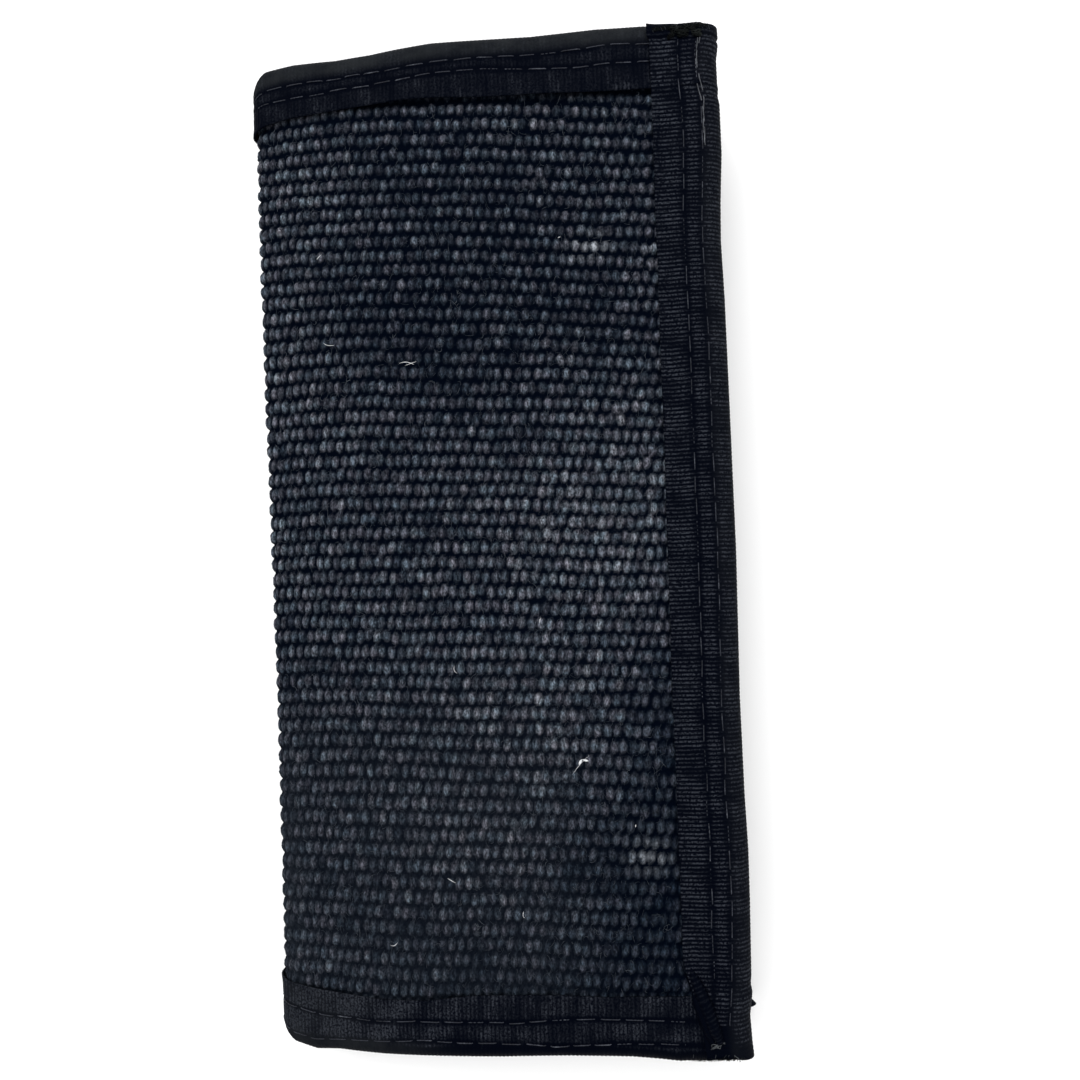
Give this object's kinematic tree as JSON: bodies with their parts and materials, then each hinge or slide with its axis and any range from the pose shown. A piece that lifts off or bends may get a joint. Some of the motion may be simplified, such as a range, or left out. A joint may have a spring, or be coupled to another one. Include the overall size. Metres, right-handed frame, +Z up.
{
  "type": "bifold wallet",
  "caption": "Long bifold wallet of heavy woven cloth bound in ribbed tape, with a folding spine, long slip pockets and stepped card pockets inside.",
  "frame": {"origin": "midway along and across the closed wallet, on the surface its rear cover lies on", "axes": "+X from the fold to the free edges, +Y along the fold, +Z up from the rear cover to the front cover"},
  "size_m": [0.0922, 0.19, 0.0265],
  "materials": {
    "woven_cloth": "coarse black plain weave, matt",
    "grosgrain_tape": "black ribbed tape, slight sheen",
    "nylon_lining": "fine black nylon, matt"
  },
  "bodies": {
    "rear_cover": {"shell_rear": "woven_cloth", "lining_rear": "nylon_lining", "bill_pocket_rear": "nylon_lining", "bill_mouth_tape_rear": "grosgrain_tape", "slip_pocket_rear": "nylon_lining", "slip_mouth_tape_rear": "grosgrain_tape", "binding_top_rear": "grosgrain_tape", "binding_bottom_rear": "grosgrain_tape", "binding_edge_rear": "grosgrain_tape"},
    "spine": {"shell_spine": "woven_cloth", "lining_spine": "nylon_lining", "binding_top_spine": "grosgrain_tape", "binding_bottom_spine": "grosgrain_tape"},
    "front_cover": {"shell_front": "woven_cloth", "lining_front": "nylon_lining", "bill_pocket_front": "nylon_lining", "bill_mouth_tape_front": "grosgrain_tape", "card_pocket_1_front": "nylon_lining", "card_mouth_tape_1_front": "grosgrain_tape", "card_pocket_2_front": "nylon_lining", "card_mouth_tape_2_front": "grosgrain_tape", "card_pocket_3_front": "nylon_lining", "card_mouth_tape_3_front": "grosgrain_tape", "binding_top_front": "grosgrain_tape", "binding_bottom_front": "grosgrain_tape", "binding_edge_front": "grosgrain_tape"}
  },
  "joints": [
    {"name": "spine_fold", "type": "hinge", "parent": "rear_cover", "child": "spine", "pos_m": [-0.04314, 0, 0.0023], "axis": [0, -1, 0], "range_deg": [-4.5, 85.5]},
    {"name": "cover_fold", "type": "hinge", "parent": "spine", "child": "front_cover", "pos_m": [-0.04376, 0, 0.01027], "axis": [0, -1, 0], "range_deg": [-4.5, 85.5]}
  ],
  "couplings": [
    {"joint": "cover_fold", "follows": "spine_fold", "ratio": 1}
  ]
}
